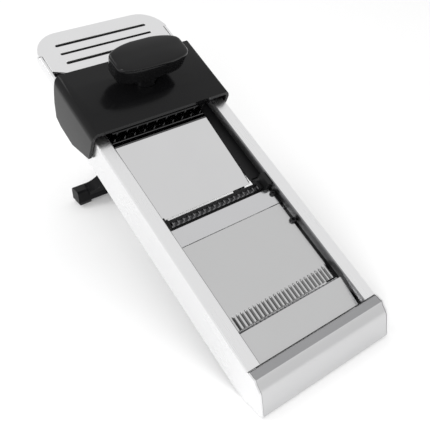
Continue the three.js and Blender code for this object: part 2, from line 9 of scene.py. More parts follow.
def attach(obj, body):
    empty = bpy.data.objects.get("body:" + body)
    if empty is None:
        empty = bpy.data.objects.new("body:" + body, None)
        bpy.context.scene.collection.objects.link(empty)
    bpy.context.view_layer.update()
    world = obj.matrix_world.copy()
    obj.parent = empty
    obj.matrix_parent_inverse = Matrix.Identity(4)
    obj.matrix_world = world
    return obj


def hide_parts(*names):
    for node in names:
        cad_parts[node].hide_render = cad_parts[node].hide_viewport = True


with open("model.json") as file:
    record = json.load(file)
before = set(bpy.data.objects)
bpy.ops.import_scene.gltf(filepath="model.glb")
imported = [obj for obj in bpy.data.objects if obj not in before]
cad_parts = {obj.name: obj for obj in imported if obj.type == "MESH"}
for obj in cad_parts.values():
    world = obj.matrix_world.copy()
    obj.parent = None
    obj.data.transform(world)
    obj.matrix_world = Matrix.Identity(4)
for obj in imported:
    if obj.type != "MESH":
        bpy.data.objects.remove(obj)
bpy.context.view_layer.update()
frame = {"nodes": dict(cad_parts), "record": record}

JOINTS = {joint["name"]: joint for joint in frame["record"]["behaviour"]["joints"]}

MM = 0.001
WIDTH = 135.0
LEG_Y = 266.0
LEG_Z = -22.0
RAMP_ROD = (280.0, -4.9)
PLATE_ROD = (105.0, -11.0)
RAIL_AXIS = Vector(JOINTS["carriage_slide"]["axis"])
INCLINE = math.atan2(RAIL_AXIS.z, RAIL_AXIS.y)
TIP = Matrix.Rotation(INCLINE, 4, "X")
RAIL_ORIGIN = Vector(JOINTS["leg_fold"]["pos_m"]) - TIP @ (Vector((0, LEG_Y, LEG_Z)) * MM)
TO_ROW = (
    Matrix.Translation(RAIL_ORIGIN) @ TIP @ Matrix.Scale(MM, 4) @ Matrix.Translation((-WIDTH / 2, 0, 0))
)
TO_BODY = TO_ROW.inverted()


# ---------------------------------------------------------------- materials

EVEN = (1, 1, 1)
ALONG = (1, 40, 1)
ACROSS = (40, 1, 1)
UPRIGHT = (1, 1, 20)
HAIR_FINE = (1, 30, 1)
NOISE_ROUGHNESS = 0.55
GRAIN_DEPTH = 0.003  # millimetres
PLATING_DEPTH = 0.006  # millimetres


def shader(name, colour, metallic, roughness, **sockets):
    """A new material and its principled shader, with every constant on the shader's own socket."""
    material = bpy.data.materials.new(name)
    material.use_nodes = True
    principled = material.node_tree.nodes["Principled BSDF"]
    principled.inputs["Base Color"].default_value = (*colour, 1)
    principled.inputs["Metallic"].default_value = metallic
    principled.inputs["Roughness"].default_value = roughness
    for socket, value in sockets.items():
        principled.inputs[socket].default_value = value
    return material, principled


def body_coordinates(tree, stretch):
    """Object coordinates turned level with the rails, each axis stretched by its own factor."""
    place = tree.nodes.new("ShaderNodeTexCoord")
    turn = tree.nodes.new("ShaderNodeMapping")
    turn.vector_type = "TEXTURE"
    turn.inputs["Rotation"].default_value = (INCLINE, 0, 0)
    turn.inputs["Scale"].default_value = stretch
    tree.links.new(place.outputs["Object"], turn.inputs["Vector"])
    return turn.outputs["Vector"]


def noise(tree, vector, scale, detail):
    node = tree.nodes.new("ShaderNodeTexNoise")
    node.inputs["Scale"].default_value = scale
    node.inputs["Detail"].default_value = detail
    node.inputs["Roughness"].default_value = NOISE_ROUGHNESS
    tree.links.new(vector, node.inputs["Vector"])
    return node.outputs["Fac"]


def spread(tree, value, low, high, start=0.3, end=0.7):
    """Turns a pattern between start and end into a value between low and high."""
    node = tree.nodes.new("ShaderNodeMapRange")
    node.inputs["From Min"].default_value = start
    node.inputs["From Max"].default_value = end
    node.inputs["To Min"].default_value = low
    node.inputs["To Max"].default_value = high
    tree.links.new(value, node.inputs["Value"])
    return node.outputs["Result"]


def tint(tree, value, dark, light):
    node = tree.nodes.new("ShaderNodeMix")
    node.data_type = "RGBA"
    node.inputs["A"].default_value = (*dark, 1)
    node.inputs["B"].default_value = (*light, 1)
    tree.links.new(value, node.inputs["Factor"])
    return node.outputs["Result"]


def add(tree, a, b):
    node = tree.nodes.new("ShaderNodeMath")
    node.operation = "ADD"
    tree.links.new(a, node.inputs[0])
    tree.links.new(b, node.inputs[1])
    return node.outputs[0]


def bump(tree, principled, height, depth_mm, strength):
    node = tree.nodes.new("ShaderNodeBump")
    node.inputs["Strength"].default_value = strength
    node.inputs["Distance"].default_value = depth_mm * MM
    tree.links.new(height, node.inputs["Height"])
    tree.links.new(node.outputs["Normal"], principled.inputs["Normal"])


def brushed(name, light, dark, rough, along):
    """Sheet steel with a fine grain drawn along one direction, and faint handling marks."""
    material, principled = shader(name, light, 1.0, rough[0])
    tree = material.node_tree
    grain = noise(tree, body_coordinates(tree, along), 1800, 3)
    marks = noise(tree, body_coordinates(tree, EVEN), 26, 5)
    tree.links.new(
        add(tree, spread(tree, grain, rough[0], rough[1]), spread(tree, marks, -0.01, 0.015)),
        principled.inputs["Roughness"],
    )
    tree.links.new(tint(tree, marks, dark, light), principled.inputs["Base Color"])
    bump(tree, principled, grain, GRAIN_DEPTH, 0.08)
    return material


def mirror_steel():
    """The ramp's mirror polish, with hair-fine wiping scratches."""
    material, principled = shader("mirror_polished_steel", (0.72, 0.72, 0.725), 1.0, 0.03)
    tree = material.node_tree
    haze = noise(tree, body_coordinates(tree, EVEN), 18, 4)
    hairs = noise(tree, body_coordinates(tree, HAIR_FINE), 2600, 2)
    tree.links.new(
        add(tree, spread(tree, haze, 0.015, 0.045), spread(tree, hairs, 0, 0.02, 0.6, 0.75)),
        principled.inputs["Roughness"],
    )
    colour = tint(tree, haze, (0.69, 0.69, 0.695), (0.73, 0.73, 0.735))
    tree.links.new(colour, principled.inputs["Base Color"])
    return material


def moulded(name, colour, rough, peel_scale, peel_mm, shine):
    """Moulded plastic: a faint skin texture, uneven gloss and a few dust-light patches."""
    material, principled = shader(name, colour, 0.0, rough[0], **{"Specular IOR Level": shine})
    tree = material.node_tree
    where = body_coordinates(tree, EVEN)
    skin = noise(tree, where, peel_scale, 3)
    cloud = noise(tree, where, 22, 4)
    tree.links.new(spread(tree, cloud, rough[0], rough[1]), principled.inputs["Roughness"])
    light = tuple(min(1.0, c * 1.5 + 0.002) for c in colour)
    tree.links.new(tint(tree, cloud, colour, light), principled.inputs["Base Color"])
    bump(tree, principled, skin, peel_mm, 0.5)
    return material


def plated(name, dark, light, rough):
    """Zinc or black-oxide plating, clouded at a small scale."""
    material, principled = shader(name, light, 1.0, rough[0])
    tree = material.node_tree
    where = body_coordinates(tree, EVEN)
    cloud = noise(tree, where, 160, 5)
    tree.links.new(tint(tree, cloud, dark, light), principled.inputs["Base Color"])
    tree.links.new(spread(tree, cloud, rough[0], rough[1]), principled.inputs["Roughness"])
    bump(tree, principled, noise(tree, where, 2200, 2), PLATING_DEPTH, 0.4)
    return material


RAIL_STEEL = brushed(
    "satin_rail_steel", (0.86, 0.86, 0.865), (0.84, 0.84, 0.845), (0.27, 0.30), ALONG,
)
LIP_STEEL = brushed(
    "shaded_lip_steel", (0.26, 0.26, 0.265), (0.20, 0.20, 0.205), (0.30, 0.34), ALONG,
)
NOSE_STEEL = brushed(
    "satin_nose_steel", (0.83, 0.83, 0.835), (0.81, 0.81, 0.815), (0.29, 0.33), ACROSS,
)
PLATE_STEEL = brushed(
    "satin_plate_steel", (0.62, 0.62, 0.625), (0.60, 0.60, 0.60), (0.22, 0.26), ALONG,
)
# Painted shade: a dark copy of the plate steel for the steep flanks of the ripples.
VALLEY_PAINTED_SHADE_STEEL = brushed(
    "ripple_valley_painted_shade", (0.2, 0.2, 0.2), (0.15, 0.15, 0.15), (0.3, 0.34), ALONG,
)
CAP_STEEL = brushed(
    "nose_cap_steel", (0.63, 0.63, 0.635), (0.61, 0.61, 0.615), (0.29, 0.33), ACROSS,
)
# Painted reflection: a darker copy of the nose steel for the nose cap's crest.
CREST_PAINTED_REFLECTION_STEEL = brushed(
    "nose_crest_painted_reflection", (0.38, 0.38, 0.385), (0.35, 0.35, 0.36), (0.29, 0.33), ACROSS,
)
BLADE_STEEL = brushed(
    "ground_blade_steel", (0.66, 0.66, 0.67), (0.62, 0.62, 0.63), (0.17, 0.21), ACROSS,
)
# Painted shade: a dark copy of the blade steel for the julienne knives and the crinkle blade, which sit in
# shade.
KNIVES_PAINTED_SHADE = brushed(
    "comb_knives_painted_shade", (0.20, 0.20, 0.205), (0.17, 0.17, 0.175), (0.22, 0.28), UPRIGHT,
)
RAMP_STEEL = mirror_steel()
CARRIAGE_BLACK = moulded("carriage_gloss_black", (0.003, 0.003, 0.0033), (0.14, 0.20), 900, 0.006, 0.2)
KNOB_BLACK = moulded("knob_gloss_black", (0.003, 0.003, 0.0033), (0.12, 0.17), 700, 0.005, 0.26)
FRAME_BLACK = moulded("frame_satin_black", (0.006, 0.006, 0.0064), (0.38, 0.50), 1600, 0.02, 0.2)
LEG_BLACK = moulded("leg_satin_black", (0.005, 0.005, 0.0054), (0.30, 0.42), 1400, 0.018, 0.10)
# Painted sheen: a lighter black for the near rim of the carriage's roof.
RIM_PAINTED_SHEEN_BLACK = moulded("carriage_rim_painted_sheen", (0.05, 0.05, 0.051), (0.30, 0.36), 900, 0.006, 0.4)
PAD_RUBBER = moulded("foot_pad_rubber", (0.022, 0.022, 0.022), (0.70, 0.85), 1900, 0.05, 0.3)
ZINC = plated("zinc_plated_steel", (0.52, 0.53, 0.54), (0.66, 0.67, 0.68), (0.26, 0.42))
BLACK_OXIDE = plated("black_oxide_screw", (0.02, 0.02, 0.022), (0.05, 0.05, 0.052), (0.28, 0.42))


# ---------------------------------------------------------------- mesh helpers

MERGE_DISTANCE = 0.004
FLAT_DEG = 0.6
FULL_WEIGHT = 100


def piece(name, bm, body, material, nodes=(), smooth_deg=35, second=None, on_second=None):
    """Finishes a mesh drawn in the body frame as a piece that rides on a body.

    A second material goes on the faces that on_second picks.
    """
    mesh = bpy.data.meshes.new(name)
    bmesh.ops.recalc_face_normals(bm, faces=bm.faces[:])
    bm.normal_update()
    shaded = [bool(on_second and on_second(face)) for face in bm.faces]
    bm.to_mesh(mesh)
    bm.free()
    mesh.transform(TO_ROW)
    mesh.materials.clear()
    mesh.materials.append(material)
    if second:
        mesh.materials.append(second)
    for polygon, is_second in zip(mesh.polygons, shaded):
        polygon.use_smooth = True
        polygon.material_index = int(is_second)
    mesh.set_sharp_from_angle(angle=math.radians(smooth_deg))
    made = bpy.data.objects.new(name, mesh)
    bpy.context.scene.collection.objects.link(made)
    made.data = with_flat_faces_flat(made)
    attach(made, body)
    if nodes:
        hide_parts(*nodes)


def with_flat_faces_flat(made):
    """The piece's mesh with normals weighted by face area, so that large faces shade as true planes."""
    weigh = made.modifiers.new("weigh", "WEIGHTED_NORMAL")
    weigh.keep_sharp = True
    weigh.weight = FULL_WEIGHT
    graph = bpy.context.evaluated_depsgraph_get()
    mesh = bpy.data.meshes.new_from_object(made.evaluated_get(graph), depsgraph=graph)
    made.modifiers.remove(weigh)
    return mesh


def node_mesh(node):
    """A CAD node's mesh in the body frame, with its loose triangles merged into clean faces."""
    bm = bmesh.new()
    bm.from_mesh(frame["nodes"][node].data)
    bm.transform(TO_BODY)
    bmesh.ops.remove_doubles(bm, verts=bm.verts[:], dist=MERGE_DISTANCE)
    bmesh.ops.dissolve_limit(
        bm, angle_limit=math.radians(FLAT_DEG), verts=bm.verts[:], edges=bm.edges[:],
        use_dissolve_boundaries=False,
    )
    return bm


def soften(bm, width, segments=2, over_deg=28):
    """Rounds every edge that turns by more than over_deg."""
    sharp = [
        edge for edge in bm.edges
        if len(edge.link_faces) == 2 and edge.calc_face_angle(0) > math.radians(over_deg)
    ]
    bmesh.ops.bevel(
        bm, geom=sharp, offset=width, offset_type="OFFSET", segments=segments, profile=0.5,
        affect="EDGES", clamp_overlap=True,
    )
    return bm


def finished_node(node, body, slot, material, width):
    """A CAD node's own shape, with its edges rounded."""
    piece(node + "_visual", soften(node_mesh(node), width), body, material, [node])


def tube_of_rings(bm, rings):
    """Skins a list of rings that all have the same number of points, and closes both ends."""
    rows = [[bm.verts.new(point) for point in ring] for ring in rings]
    count = len(rows[0])
    for low, high in zip(rows, rows[1:]):
        for i in range(count):
            j = (i + 1) % count
            bm.faces.new((low[i], low[j], high[j], high[i]))
    bm.faces.new(rows[0][::-1])
    bm.faces.new(rows[-1])


def turned(bm, profile, centre, axis="Z", sides=48):
    """A turned piece from (radius, height) points along an axis through centre."""
    rings = []
    for radius, height in profile:
        ring = []
        for i in range(sides):
            a = 2 * math.pi * i / sides
            p = (radius * math.cos(a), radius * math.sin(a), height)
            ring.append(Vector(p if axis == "Z" else (height, p[0], p[1])) + centre)
        rings.append(ring)
    tube_of_rings(bm, rings)


def half_circle(radius, steps):
    """Points round the upper half of a circle about the origin."""
    turns = [math.radians(180 * i / steps) for i in range(steps + 1)]
    return [(radius * math.cos(turn), radius * math.sin(turn)) for turn in turns]


def drawn_across(section, x0, x1):
    """A closed (y, z) section drawn from x0 to x1, as a bmesh."""
    bm = bmesh.new()
    tube_of_rings(bm, [[Vector((x, y, z)) for y, z in section] for x in (x0, x1)])
    return bm


def merge_into(target, source):
    """Adds one bmesh to another."""
    mesh = bpy.data.meshes.new("part")
    source.to_mesh(mesh)
    source.free()
    target.from_mesh(mesh)
    bpy.data.meshes.remove(mesh)


# ---------------------------------------------------------------- geometry node trees

class Tree:
    """A geometry node tree with named inputs, ending in Realize Instances and Set Material."""

    def __init__(self, name, inputs):
        self.group = bpy.data.node_groups.new(name, "GeometryNodeTree")
        self.sockets = {}
        for label, kind in inputs:
            self.sockets[label] = self.group.interface.new_socket(label, in_out="INPUT", socket_type=kind)
        self.group.interface.new_socket("Geometry", in_out="OUTPUT", socket_type="NodeSocketGeometry")
        self.given = self.group.nodes.new("NodeGroupInput")

    def node(self, kind, values=None, **settings):
        made = self.group.nodes.new(kind)
        for key, value in settings.items():
            setattr(made, key, value)
        for key, value in (values or {}).items():
            socket = made.inputs[key]
            if isinstance(value, bpy.types.NodeSocket):
                self.group.links.new(value, socket)
            else:
                socket.default_value = value
        return made

    def input(self, label):
        return self.given.outputs[label]

    def maths(self, operation, a, b=0.0, c=0.0):
        return self.node("ShaderNodeMath", {0: a, 1: b, 2: c}, operation=operation).outputs[0]

    def finish(self, geometry, material):
        real = self.node("GeometryNodeRealizeInstances", {0: geometry}).outputs[0]
        painted = self.node("GeometryNodeSetMaterial", {"Geometry": real, "Material": material}).outputs[0]
        self.group.links.new(painted, self.group.nodes.new("NodeGroupOutput").inputs[0])

    def grow(self, **values):
        """Runs the tree on an empty mesh and gives its result as a bmesh in the body frame."""
        host = bpy.data.objects.new("host", bpy.data.meshes.new("host"))
        bpy.context.scene.collection.objects.link(host)
        modifier = host.modifiers.new("shape", "NODES")
        modifier.node_group = self.group
        for label, value in values.items():
            modifier[self.sockets[label.replace("_", " ")].identifier] = value
        graph = bpy.context.evaluated_depsgraph_get()
        mesh = bpy.data.meshes.new_from_object(host.evaluated_get(graph), depsgraph=graph)
        bm = bmesh.new()
        bm.from_mesh(mesh)
        bpy.data.objects.remove(host)
        bpy.data.meshes.remove(mesh)
        return bm


def pattern_object(name, bm):
    """A small mesh that a tree repeats; it is removed once the tree has run."""
    mesh = bpy.data.meshes.new(name)
    bmesh.ops.recalc_face_normals(bm, faces=bm.faces[:])
    bm.to_mesh(mesh)
    bm.free()
    made = bpy.data.objects.new(name, mesh)
    bpy.context.scene.collection.objects.link(made)
    return made


def repeat_tree(name, material):
    """Copies of one pattern, one step apart."""
    tree = Tree(name, [("Pattern", "NodeSocketObject"), ("Count", "NodeSocketInt"),
                       ("First", "NodeSocketVector"), ("Step", "NodeSocketVector")])
    line = tree.node("GeometryNodeMeshLine", {
        "Count": tree.input("Count"), "Start Location": tree.input("First"), "Offset": tree.input("Step"),
    })
    shape = tree.node("GeometryNodeObjectInfo", {"Object": tree.input("Pattern")})
    row = tree.node("GeometryNodeInstanceOnPoints", {
        "Points": line.outputs[0], "Instance": shape.outputs["Geometry"],
    })
    tree.finish(row.outputs[0], material)
    return tree


FOLD_SHIFT = 400.5  # keeps the count of folds above zero, half a fold along


def wave_sheet_tree(name, material, folded):
    """A thin sheet whose height follows sharp folds or rounded scallops across X.

    They start at Fade from the near edge, and reach their full height Run In nearer to it.
    """
    tree = Tree(name, [("Width", "NodeSocketFloat"), ("Length", "NodeSocketFloat"),
                       ("Thickness", "NodeSocketFloat"), ("Columns", "NodeSocketInt"),
                       ("Rows", "NodeSocketInt"), ("Pitch", "NodeSocketFloat"),
                       ("Height", "NodeSocketFloat"), ("Fade", "NodeSocketFloat"),
                       ("Run In", "NodeSocketFloat")])
    size = tree.node("ShaderNodeCombineXYZ", {
        0: tree.input("Width"), 1: tree.input("Length"), 2: tree.input("Thickness"),
    }).outputs[0]
    sheet = tree.node("GeometryNodeMeshCube", {
        "Size": size, "Vertices X": tree.input("Columns"), "Vertices Y": tree.input("Rows"), "Vertices Z": 2,
    })
    where = tree.node("ShaderNodeSeparateXYZ", {0: tree.node("GeometryNodeInputPosition").outputs[0]})
    turns = tree.maths("DIVIDE", where.outputs[0], tree.input("Pitch"))
    if folded:
        wave = tree.maths("PINGPONG", tree.maths("ADD", turns, FOLD_SHIFT), 0.5)
        wave = tree.maths("MULTIPLY", wave, 2.0)
    else:
        arch = tree.maths("COSINE", tree.maths("MULTIPLY", turns, math.pi))
        wave = tree.maths("SUBTRACT", 1.0, tree.maths("ABSOLUTE", arch))
    from_edge = tree.maths("ADD", where.outputs[1], tree.maths("MULTIPLY", tree.input("Length"), 0.5))
    before_fade = tree.maths("SUBTRACT", tree.input("Fade"), from_edge)
    left = tree.maths("DIVIDE", before_fade, tree.input("Run In"))
    grow = tree.maths("MINIMUM", tree.maths("MAXIMUM", left, 0.0), 1.0)
    deepest = tree.maths("MULTIPLY", tree.input("Height"), -1.0)
    drop = tree.maths("MULTIPLY", tree.maths("MULTIPLY", wave, grow), deepest)
    moved = tree.node("GeometryNodeSetPosition", {
        "Geometry": sheet.outputs[0], "Offset": tree.node("ShaderNodeCombineXYZ", {2: drop}).outputs[0],
    })
    tree.finish(moved.outputs[0], material)
    return tree


def pin_field_tree(name, material):
    """A staggered field of one pattern, whose rows climb along Y, clear of a round boss."""
    tree = Tree(name, [("Pattern", "NodeSocketObject"), ("Columns", "NodeSocketInt"),
                       ("Rows", "NodeSocketInt"), ("Pitch", "NodeSocketFloat"),
                       ("Row Pitch", "NodeSocketFloat"), ("First", "NodeSocketVector"),
                       ("Climb", "NodeSocketFloat"), ("Boss", "NodeSocketVector"),
                       ("Boss Radius", "NodeSocketFloat"),
                       ("Right Limit", "NodeSocketFloat")])
    total = tree.maths("MULTIPLY", tree.input("Columns"), tree.input("Rows"))
    points = tree.node("GeometryNodePoints", {"Count": total})
    index = tree.node("GeometryNodeInputIndex").outputs[0]
    row = tree.maths("FLOOR", tree.maths("DIVIDE", tree.maths("ADD", index, 0.5), tree.input("Columns")))
    column = tree.maths("SUBTRACT", index, tree.maths("MULTIPLY", row, tree.input("Columns")))
    odd = tree.maths("MODULO", row, 2.0)
    x = tree.maths("MULTIPLY", tree.maths("MULTIPLY_ADD", odd, 0.5, column), tree.input("Pitch"))
    y = tree.maths("MULTIPLY", row, tree.input("Row Pitch"))
    z = tree.maths("MULTIPLY", y, tree.input("Climb"))
    offset = tree.node("ShaderNodeCombineXYZ", {0: x, 1: y, 2: z}).outputs[0]
    place = tree.node("ShaderNodeVectorMath", {0: tree.input("First"), 1: offset}, operation="ADD")
    set_out = tree.node("GeometryNodeSetPosition", {
        "Geometry": points.outputs[0], "Position": place.outputs[0],
    })
    here = tree.node("GeometryNodeInputPosition").outputs[0]
    flat = tree.node("ShaderNodeVectorMath", {0: here, 1: (1, 1, 0)}, operation="MULTIPLY").outputs[0]
    away = tree.node("ShaderNodeVectorMath", {0: flat, 1: tree.input("Boss")}, operation="DISTANCE")
    near = tree.maths("LESS_THAN", away.outputs["Value"], tree.input("Boss Radius"))
    here_x = tree.node("ShaderNodeSeparateXYZ", {0: here}).outputs[0]
    over = tree.maths("GREATER_THAN", here_x, tree.input("Right Limit"))
    kept = tree.node("GeometryNodeDeleteGeometry", {
        "Geometry": set_out.outputs[0], "Selection": tree.maths("MAXIMUM", near, over),
    })
    shape = tree.node("GeometryNodeObjectInfo", {"Object": tree.input("Pattern")})
    field = tree.node("GeometryNodeInstanceOnPoints", {
        "Points": kept.outputs[0], "Instance": shape.outputs["Geometry"],
    })
    tree.finish(field.outputs[0], material)
    return tree


# ---------------------------------------------------------------- the slicer's pieces

BED_X0 = 14.3
BED_X1 = 118.3
BED_Z = -7.0
SHEET = 1.5
PLATE_Y0 = 30.0
PLATE_Y1 = 108.6
RIPPLE_END = 43.5
RIPPLES = 25
RIPPLE_PITCH = (BED_X1 - BED_X0 - 1) / RIPPLES
RIPPLE_HEIGHT = 1.3
RIPPLE_RUN_IN = 3.0
RIPPLE_COLUMNS = 10
CRINKLE_COLUMNS = 8
CRINKLE_EDGE_Z = -3.9
CRINKLE_BACK_Z = -7.4
CRINKLE_DEPTH = 26.0
CRINKLE_MIDDLE = (66.3, 27.0, -7.3)

KNIVES = 18
KNIFE_HALF = 0.4
FIRST_KNIFE_X = 22.0
LAST_KNIFE_X = 110.5
COMB_X0 = 21.0
COMB_X1 = 112.0
KNIFE_OUTLINE = [
    (134, -13.7), (134, -9.8), (133.6, -8.8), (132.6, -8.1), (131, -8.1),
    (129.6, -8.6), (129.5, -9.1), (131, -9.5), (131.5, -10.2), (131.2, -13.7),
]
COMB_STRIP = [(130.5, -14.2), (134, -14.2), (134, -13.0), (130.5, -13.0)]

STEM = Vector((67.5, 262.0, 0.0))
STEM_PROFILE = [
    (2.6, 6.4), (10.6, 6.4), (11, 6.8), (11, 12.6), (12, 12.65), (12, 25.6), (11.7, 26.0), (2.6, 26.0),
]
KNOB_HALF = 35.4
KNOB_SIDES = 96
KNOB_SQUARENESS = 0.36
KNOB_FAR = (10.6, 5.8)
KNOB_NEAR = (13.2, 3.2)
KNOB_LEVELS = [
    (26.35, 0.50), (26.3, 0.80), (26.6, 0.89), (27.5, 0.93), (29.5, 0.95), (33, 0.963),
    (37, 0.976), (40.5, 0.99), (42.3, 0.994), (43.6, 0.987), (44.5, 0.965), (45.0, 0.93),
    (45.3, 0.88), (45.7, 0.75), (46.2, 0.5), (46.5, 0.2),
]

PIN_PROFILE = [(0.05, -5.0), (0.3, -4.85), (0.7, -2.5), (1.15, -0.2), (1.5, 0.3), (1.5, 0.6)]
FIRST_PIN = (22.5, 225.0, 1.6)
PIN_CLIMB = 0.053
SLAB_X0 = 17.0
SLAB_X1 = 118.0
SLAB_Y0 = 223.5
SLAB_Y1 = 281
SLAB_THICKNESS = 1.8

ROD_START = 4
ROD_CHAMFER = 0.4
LIP_X = 20
LIP_LENGTH = 95
LIP_HALF = 1.35
LIP_RADIUS = 0.45
LIP_STEPS = 24
FIRST_SLOT_Y = 311
SLOT_PITCH = 11.0

# The limits of the faces that take a second material: the painted sheen on the carriage's rim, the painted
# reflection on the nose's crest and the painted shade on the rails' inner lips.
RIM_Y = 223.5
RIM_Z = 6
CREST_Y = -8.5
LIPS_FROM_X = 11
LIPS_TO_X = 124


def centre_plate():
    tree = wave_sheet_tree("rippled_plate", PLATE_STEEL, False)
    bm = tree.grow(
        Width=RIPPLES * RIPPLE_PITCH, Length=PLATE_Y1 - PLATE_Y0, Thickness=SHEET,
        Columns=RIPPLES * RIPPLE_COLUMNS + 1, Rows=80, Pitch=RIPPLE_PITCH, Height=RIPPLE_HEIGHT,
        Fade=RIPPLE_END - PLATE_Y0, Run_In=RIPPLE_RUN_IN,
    )
    middle = ((BED_X0 + BED_X1) / 2, (PLATE_Y0 + PLATE_Y1) / 2, BED_Z - SHEET / 2)
    bm.transform(Matrix.Translation(middle))
    for x in (BED_X0 + 6, BED_X1 - 22):
        sleeve = [(1.85, 0), (2.6, 0), (2.8, 0.3), (2.8, 15.7), (2.6, 16), (1.85, 16)]
        turned(bm, sleeve, Vector((x, *PLATE_ROD)), "X", 32)
    # The steep flanks of the ripples take a painted shade.
    piece("centre_plate_visual", bm, "slicing_plate", PLATE_STEEL,
          ["centre_plate"], 30, second=VALLEY_PAINTED_SHADE_STEEL, on_second=in_painted_valley_shade)


def in_painted_valley_shade(face):
    """Whether a face is a steep flank in the rippled end, which takes the painted valley shade."""
    return 0.5 < abs(face.normal.x) < 0.9 and face.calc_center_median().y < RIPPLE_END


def crinkle_blade():
    slope = math.atan2(CRINKLE_EDGE_Z - CRINKLE_BACK_Z, CRINKLE_DEPTH)
    tree = wave_sheet_tree("crinkle_blade", BLADE_STEEL, True)
    bm = tree.grow(
        Width=RIPPLE_PITCH * RIPPLES, Length=18.6, Thickness=0.7,
        Columns=RIPPLES * CRINKLE_COLUMNS + 1, Rows=2,
        Pitch=RIPPLE_PITCH, Height=2.0, Fade=100.0, Run_In=1.0,
    )
    bm.transform(Matrix.Translation((0, -7.6, 0.9)))
    bm.transform(Matrix.Rotation(slope, 4, "X"))
    bm.transform(Matrix.Translation(CRINKLE_MIDDLE))
    # The crinkle blade takes the knives' dark steel, a painted shade.
    piece("crinkle_blade_visual", bm, "body", KNIVES_PAINTED_SHADE, ["crinkle_blade"], 25)


def knife_pattern():
    """One hooked julienne knife, ground thin towards its cutting edge on the side of the ramp."""
    bm = drawn_across(KNIFE_OUTLINE, -KNIFE_HALF, KNIFE_HALF)
    return pattern_object("julienne_knife", soften(bm, 0.12, 1, 60))


def julienne_comb():
    knife = knife_pattern()
    tree = repeat_tree("comb_of_knives", KNIVES_PAINTED_SHADE)
    pitch = (LAST_KNIFE_X - FIRST_KNIFE_X) / (KNIVES - 1)
    bm = tree.grow(Pattern=knife, Count=KNIVES, First=(FIRST_KNIFE_X, 0.0, 0.0), Step=(pitch, 0.0, 0.0))
    merge_into(bm, soften(drawn_across(COMB_STRIP, COMB_X0, COMB_X1), 0.2, 2))
    bpy.data.objects.remove(knife)
    piece("julienne_comb_visual", bm, "comb", KNIVES_PAINTED_SHADE, ["julienne_comb"], 30)


def pin_plate():
    """The pusher's plate, with its tapered pins in staggered rows."""
    bm = bmesh.new()
    turned(bm, PIN_PROFILE, Vector(), "Z", 14)
    pin = pattern_object("pusher_pin", bm)
    tree = pin_field_tree("field_of_pins", FRAME_BLACK)
    field = tree.grow(
        Pattern=pin, Columns=10, Rows=7, Pitch=10.0, Row_Pitch=9.0, First=FIRST_PIN, Climb=PIN_CLIMB,
        Boss=(STEM.x, STEM.y, 0.0), Boss_Radius=8.0, Right_Limit=113.0,
    )
    bpy.data.objects.remove(pin)
    merge_into(field, plate_slab())
    piece("pin_plate_visual", field, "pusher", CARRIAGE_BLACK, ["pin_plate"], 40)


def plate_slab():
    """The pin plate's slab, which climbs towards the handle end as the rows of pins do."""
    near, far = (FIRST_PIN[2] + (y - FIRST_PIN[1]) * PIN_CLIMB for y in (SLAB_Y0, SLAB_Y1))
    section = [(SLAB_Y0, near), (SLAB_Y1, far), (SLAB_Y1, far + SLAB_THICKNESS),
               (SLAB_Y0, near + SLAB_THICKNESS)]
    return soften(drawn_across(section, SLAB_X0, SLAB_X1), 0.4, 2)


def knob_ring(height, size):
    """One level of the grip: square-cornered in plan, its far side bulging more than its near one."""
    ring = []
    for i in range(KNOB_SIDES):
        a = 2 * math.pi * (i + 0.5) / KNOB_SIDES
        across = math.copysign(abs(math.cos(a)) ** KNOB_SQUARENESS, math.cos(a))
        deep = math.copysign(abs(math.sin(a)) ** KNOB_SQUARENESS, math.sin(a))
        end, bulge = KNOB_FAR if deep > 0 else KNOB_NEAR
        y = deep * (end + bulge * (1 - across * across))
        ring.append(Vector((STEM.x + KNOB_HALF * across * size, STEM.y + y * size, height)))
    return ring


def knob():
    """The pusher's grip: narrow underneath, widest near its top, with a low crown."""
    bm = bmesh.new()
    tube_of_rings(bm, [knob_ring(height, size) for height, size in KNOB_LEVELS])
    piece("knob_visual", bm, "pusher", KNOB_BLACK, ["knob"], 60)


def pusher_stem():
    bm = bmesh.new()
    turned(bm, STEM_PROFILE, STEM, "Z", 64)
    piece("pusher_stem_visual", bm, "pusher", KNOB_BLACK, ["pusher_stem"], 35)


def round_head_screw(node, x, y, radius, under, top, low):
    """A round-headed screw with a round socket; under and top are its head's levels, low its tip's."""
    bm = bmesh.new()
    height = top - under
    profile = [(1.1, low), (1.1, under), (radius * 0.96, under), (radius, under + 0.2),
               (radius * 0.97, under + height * 0.6), (radius * 0.86, top - 0.12), (radius * 0.7, top),
               (radius * 0.5, top), (radius * 0.46, top - 0.1), (radius * 0.46, top - height * 0.7)]
    turned(bm, profile, Vector((x, y, 0)), "Z", 36)
    piece(node + "_visual", bm, "body", BLACK_OXIDE, [node], 35)


def cross_rods():
    rods = [("leg_pivot_rod", (LEG_Y, LEG_Z), 3.0), ("ramp_pivot_rod", RAMP_ROD, 1.5),
            ("centre_plate_rod", PLATE_ROD, 1.5)]
    for name, place, radius in rods:
        bm = bmesh.new()
        tip = radius - ROD_CHAMFER
        profile = [(tip, ROD_START), (radius, ROD_START + ROD_CHAMFER),
                   (radius, WIDTH - (ROD_START + ROD_CHAMFER)), (tip, WIDTH - ROD_START)]
        turned(bm, profile, Vector((0, *place)), "X", 40)
        piece(name + "_visual", bm, "body", ZINC, [name], 35)


